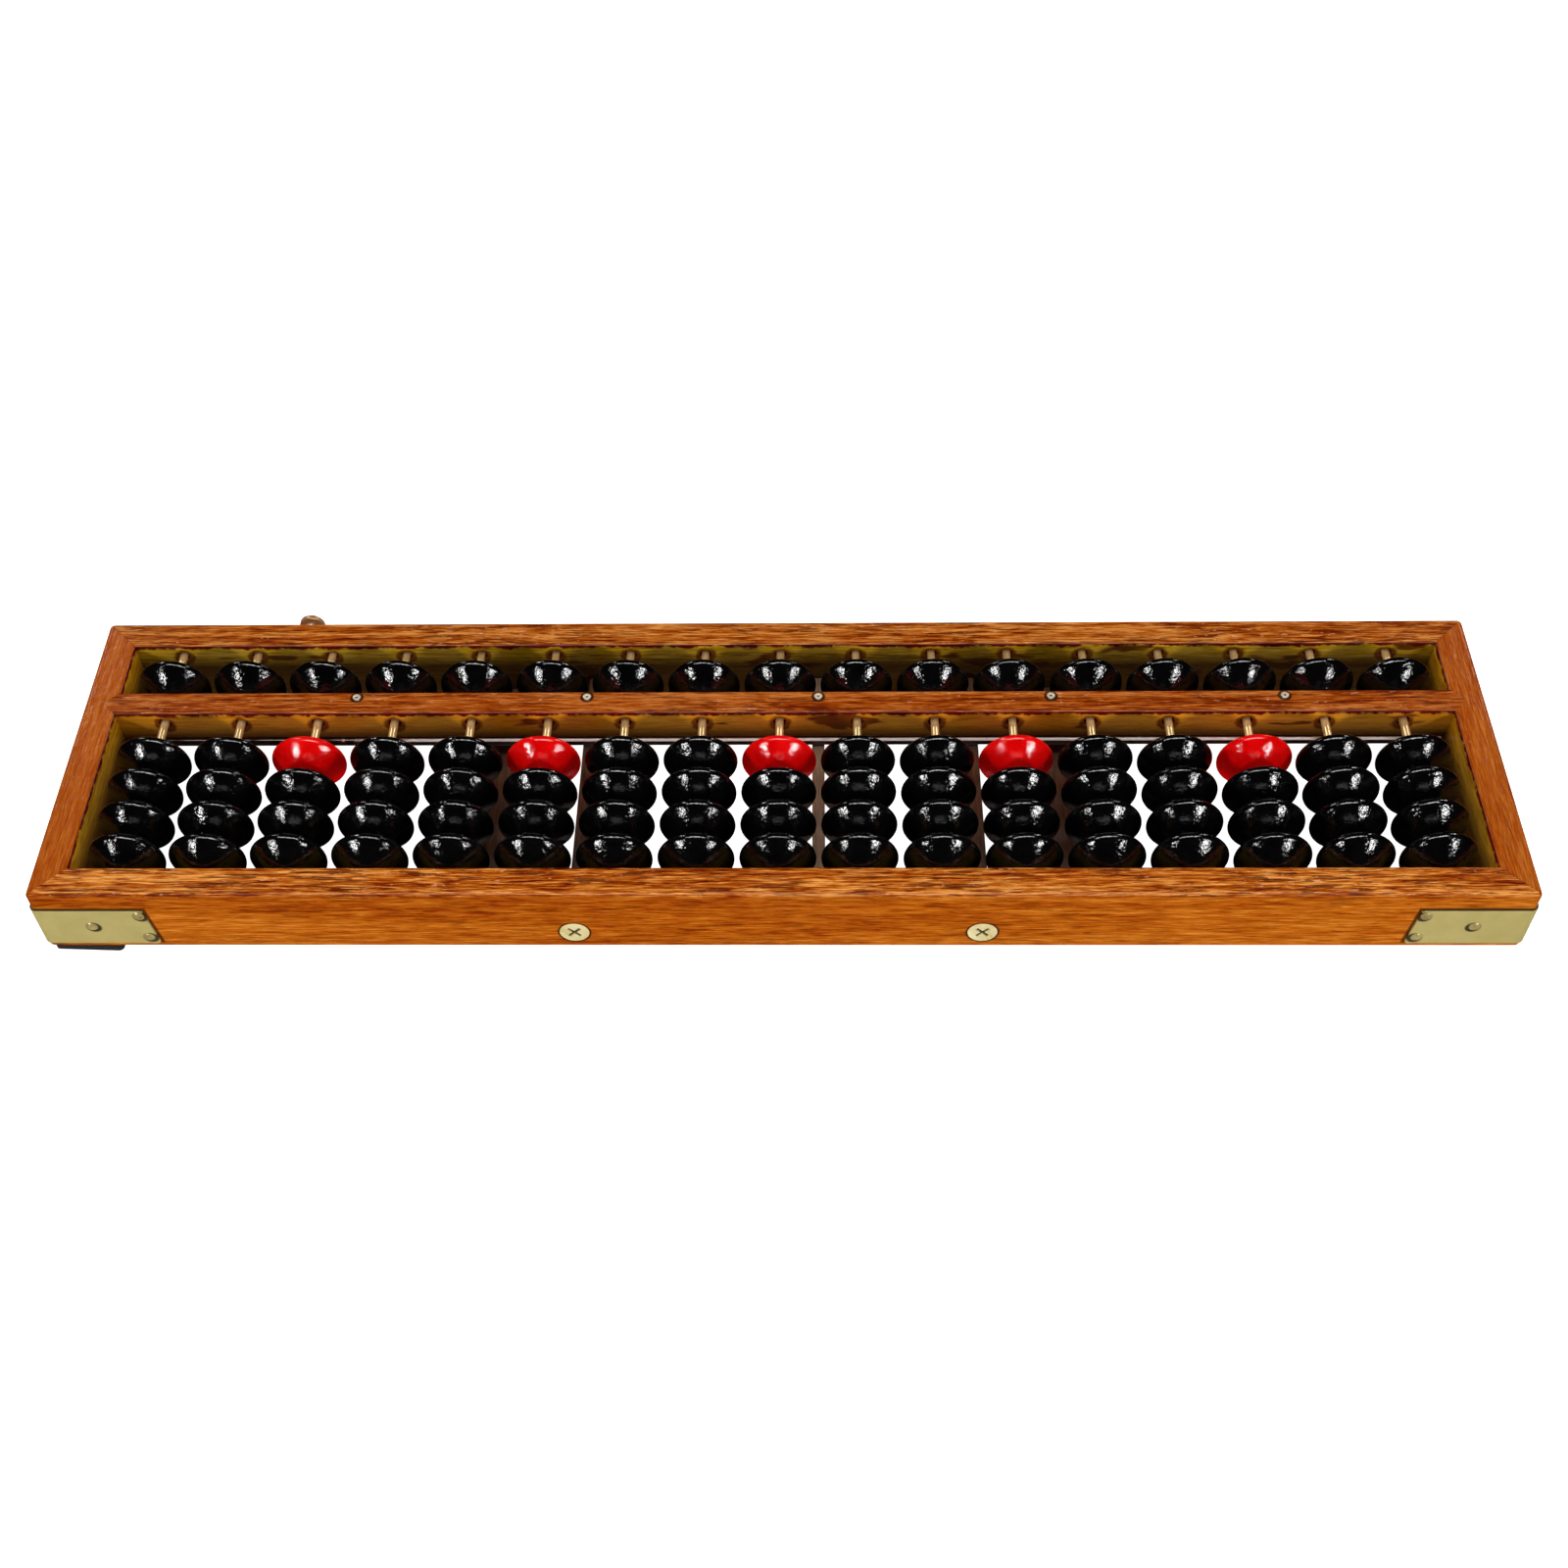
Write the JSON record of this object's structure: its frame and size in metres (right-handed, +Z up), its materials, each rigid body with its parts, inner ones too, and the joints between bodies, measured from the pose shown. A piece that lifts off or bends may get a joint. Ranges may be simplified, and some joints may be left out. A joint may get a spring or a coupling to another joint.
{
  "type": "abacus",
  "caption": "Shallow wooden bead frame with a dividing beam, round lacquered beads sliding on thin rods, brass corner plates and a push knob at the back that clears the lower deck.",
  "frame": {"origin": "centre of the bounding box in X and Y, at the underside of the rubber pads", "axes": "+X along the row of columns to the right, +Y away from the user towards the push knob, +Z up"},
  "size_m": [0.3822, 0.1082, 0.0303],
  "materials": {
    "varnished_wood": "thick glossy varnish over straight orange-brown grain",
    "dark_wood": "dark brown stain under gloss varnish",
    "pale_slat": "bare grey-tan wood",
    "strip_lacquer": "dark red-brown lacquer, glossy",
    "black_lacquer": "thick glossy black lacquer over turned wood",
    "red_lacquer": "thick glossy red lacquer over turned wood",
    "rod_brass": "drawn wire, semi-bright",
    "plate_brass": "satin sheet",
    "screw_brass": "bright, worn recess",
    "knob_brass": "turned, dulled",
    "pin_metal": "small domed heads",
    "spring_steel": "drawn wire",
    "rubber": "matte black sheet"
  },
  "bodies": {
    "frame": {"front_rail": "varnished_wood", "back_rail": "varnished_wood", "left_rail": "varnished_wood", "right_rail": "varnished_wood", "beam": "varnished_wood", "rods": "rod_brass", "marker_pins": "pin_metal", "corner_plate_front_left": "plate_brass", "corner_plate_front_right": "plate_brass", "corner_plate_back_left": "plate_brass", "corner_plate_back_right": "plate_brass", "plate_nails": "plate_brass", "frame_screws": "screw_brass", "rubber_pads": "rubber", "battens": "dark_wood", "centre_slat": "pale_slat", "tie_bars": "dark_wood", "return_spring": "spring_steel"},
    "clearing_gear": {"clearing_strip": "strip_lacquer", "plunger_rod": "spring_steel", "push_knob": "knob_brass"},
    "heaven_01": {"heaven_bead_01": "black_lacquer"},
    "earth_01": {"earth_beads_01": "black_lacquer"},
    "heaven_02": {"heaven_bead_02": "black_lacquer"},
    "earth_02": {"earth_beads_02": "black_lacquer"},
    "heaven_03": {"heaven_bead_03": "black_lacquer"},
    "earth_03": {"earth_beads_03": "black_lacquer", "red_bead_03": "red_lacquer"},
    "heaven_04": {"heaven_bead_04": "black_lacquer"},
    "earth_04": {"earth_beads_04": "black_lacquer"},
    "heaven_05": {"heaven_bead_05": "black_lacquer"},
    "earth_05": {"earth_beads_05": "black_lacquer"},
    "heaven_06": {"heaven_bead_06": "black_lacquer"},
    "earth_06": {"earth_beads_06": "black_lacquer", "red_bead_06": "red_lacquer"},
    "heaven_07": {"heaven_bead_07": "black_lacquer"},
    "earth_07": {"earth_beads_07": "black_lacquer"},
    "heaven_08": {"heaven_bead_08": "black_lacquer"},
    "earth_08": {"earth_beads_08": "black_lacquer"},
    "heaven_09": {"heaven_bead_09": "black_lacquer"},
    "earth_09": {"earth_beads_09": "black_lacquer", "red_bead_09": "red_lacquer"},
    "heaven_10": {"heaven_bead_10": "black_lacquer"},
    "earth_10": {"earth_beads_10": "black_lacquer"},
    "heaven_11": {"heaven_bead_11": "black_lacquer"},
    "earth_11": {"earth_beads_11": "black_lacquer"},
    "heaven_12": {"heaven_bead_12": "black_lacquer"},
    "earth_12": {"earth_beads_12": "black_lacquer", "red_bead_12": "red_lacquer"},
    "heaven_13": {"heaven_bead_13": "black_lacquer"},
    "earth_13": {"earth_beads_13": "black_lacquer"},
    "heaven_14": {"heaven_bead_14": "black_lacquer"},
    "earth_14": {"earth_beads_14": "black_lacquer"},
    "heaven_15": {"heaven_bead_15": "black_lacquer"},
    "earth_15": {"earth_beads_15": "black_lacquer", "red_bead_15": "red_lacquer"},
    "heaven_16": {"heaven_bead_16": "black_lacquer"},
    "earth_16": {"earth_beads_16": "black_lacquer"},
    "heaven_17": {"heaven_bead_17": "black_lacquer"},
    "earth_17": {"earth_beads_17": "black_lacquer"}
  },
  "joints": [
    {"name": "clear_push", "type": "slide", "parent": "frame", "child": "clearing_gear", "axis": [0, 1, 0], "range_m": [-0.0088, 0], "stiffness_N_per_m": 60, "springref_m": 0.002, "deforming": ["return_spring"]},
    {"name": "heaven_slide_01", "type": "slide", "parent": "frame", "child": "heaven_01", "axis": [0, 1, 0], "range_m": [0, 0.00595]},
    {"name": "earth_slide_01", "type": "slide", "parent": "frame", "child": "earth_01", "axis": [0, 1, 0], "range_m": [0, 0.00815]},
    {"name": "heaven_slide_02", "type": "slide", "parent": "frame", "child": "heaven_02", "axis": [0, 1, 0], "range_m": [0, 0.00595]},
    {"name": "earth_slide_02", "type": "slide", "parent": "frame", "child": "earth_02", "axis": [0, 1, 0], "range_m": [0, 0.00815]},
    {"name": "heaven_slide_03", "type": "slide", "parent": "frame", "child": "heaven_03", "axis": [0, 1, 0], "range_m": [0, 0.00595]},
    {"name": "earth_slide_03", "type": "slide", "parent": "frame", "child": "earth_03", "axis": [0, 1, 0], "range_m": [0, 0.00815]},
    {"name": "heaven_slide_04", "type": "slide", "parent": "frame", "child": "heaven_04", "axis": [0, 1, 0], "range_m": [0, 0.00595]},
    {"name": "earth_slide_04", "type": "slide", "parent": "frame", "child": "earth_04", "axis": [0, 1, 0], "range_m": [0, 0.00815]},
    {"name": "heaven_slide_05", "type": "slide", "parent": "frame", "child": "heaven_05", "axis": [0, 1, 0], "range_m": [0, 0.00595]},
    {"name": "earth_slide_05", "type": "slide", "parent": "frame", "child": "earth_05", "axis": [0, 1, 0], "range_m": [0, 0.00815]},
    {"name": "heaven_slide_06", "type": "slide", "parent": "frame", "child": "heaven_06", "axis": [0, 1, 0], "range_m": [0, 0.00595]},
    {"name": "earth_slide_06", "type": "slide", "parent": "frame", "child": "earth_06", "axis": [0, 1, 0], "range_m": [0, 0.00815]},
    {"name": "heaven_slide_07", "type": "slide", "parent": "frame", "child": "heaven_07", "axis": [0, 1, 0], "range_m": [0, 0.00595]},
    {"name": "earth_slide_07", "type": "slide", "parent": "frame", "child": "earth_07", "axis": [0, 1, 0], "range_m": [0, 0.00815]},
    {"name": "heaven_slide_08", "type": "slide", "parent": "frame", "child": "heaven_08", "axis": [0, 1, 0], "range_m": [0, 0.00595]},
    {"name": "earth_slide_08", "type": "slide", "parent": "frame", "child": "earth_08", "axis": [0, 1, 0], "range_m": [0, 0.00815]},
    {"name": "heaven_slide_09", "type": "slide", "parent": "frame", "child": "heaven_09", "axis": [0, 1, 0], "range_m": [0, 0.00595]},
    {"name": "earth_slide_09", "type": "slide", "parent": "frame", "child": "earth_09", "axis": [0, 1, 0], "range_m": [0, 0.00815]},
    {"name": "heaven_slide_10", "type": "slide", "parent": "frame", "child": "heaven_10", "axis": [0, 1, 0], "range_m": [0, 0.00595]},
    {"name": "earth_slide_10", "type": "slide", "parent": "frame", "child": "earth_10", "axis": [0, 1, 0], "range_m": [0, 0.00815]},
    {"name": "heaven_slide_11", "type": "slide", "parent": "frame", "child": "heaven_11", "axis": [0, 1, 0], "range_m": [0, 0.00595]},
    {"name": "earth_slide_11", "type": "slide", "parent": "frame", "child": "earth_11", "axis": [0, 1, 0], "range_m": [0, 0.00815]},
    {"name": "heaven_slide_12", "type": "slide", "parent": "frame", "child": "heaven_12", "axis": [0, 1, 0], "range_m": [0, 0.00595]},
    {"name": "earth_slide_12", "type": "slide", "parent": "frame", "child": "earth_12", "axis": [0, 1, 0], "range_m": [0, 0.00815]},
    {"name": "heaven_slide_13", "type": "slide", "parent": "frame", "child": "heaven_13", "axis": [0, 1, 0], "range_m": [0, 0.00595]},
    {"name": "earth_slide_13", "type": "slide", "parent": "frame", "child": "earth_13", "axis": [0, 1, 0], "range_m": [0, 0.00815]},
    {"name": "heaven_slide_14", "type": "slide", "parent": "frame", "child": "heaven_14", "axis": [0, 1, 0], "range_m": [0, 0.00595]},
    {"name": "earth_slide_14", "type": "slide", "parent": "frame", "child": "earth_14", "axis": [0, 1, 0], "range_m": [0, 0.00815]},
    {"name": "heaven_slide_15", "type": "slide", "parent": "frame", "child": "heaven_15", "axis": [0, 1, 0], "range_m": [0, 0.00595]},
    {"name": "earth_slide_15", "type": "slide", "parent": "frame", "child": "earth_15", "axis": [0, 1, 0], "range_m": [0, 0.00815]},
    {"name": "heaven_slide_16", "type": "slide", "parent": "frame", "child": "heaven_16", "axis": [0, 1, 0], "range_m": [0, 0.00595]},
    {"name": "earth_slide_16", "type": "slide", "parent": "frame", "child": "earth_16", "axis": [0, 1, 0], "range_m": [0, 0.00815]},
    {"name": "heaven_slide_17", "type": "slide", "parent": "frame", "child": "heaven_17", "axis": [0, 1, 0], "range_m": [0, 0.00595]},
    {"name": "earth_slide_17", "type": "slide", "parent": "frame", "child": "earth_17", "axis": [0, 1, 0], "range_m": [0, 0.00815]}
  ]
}
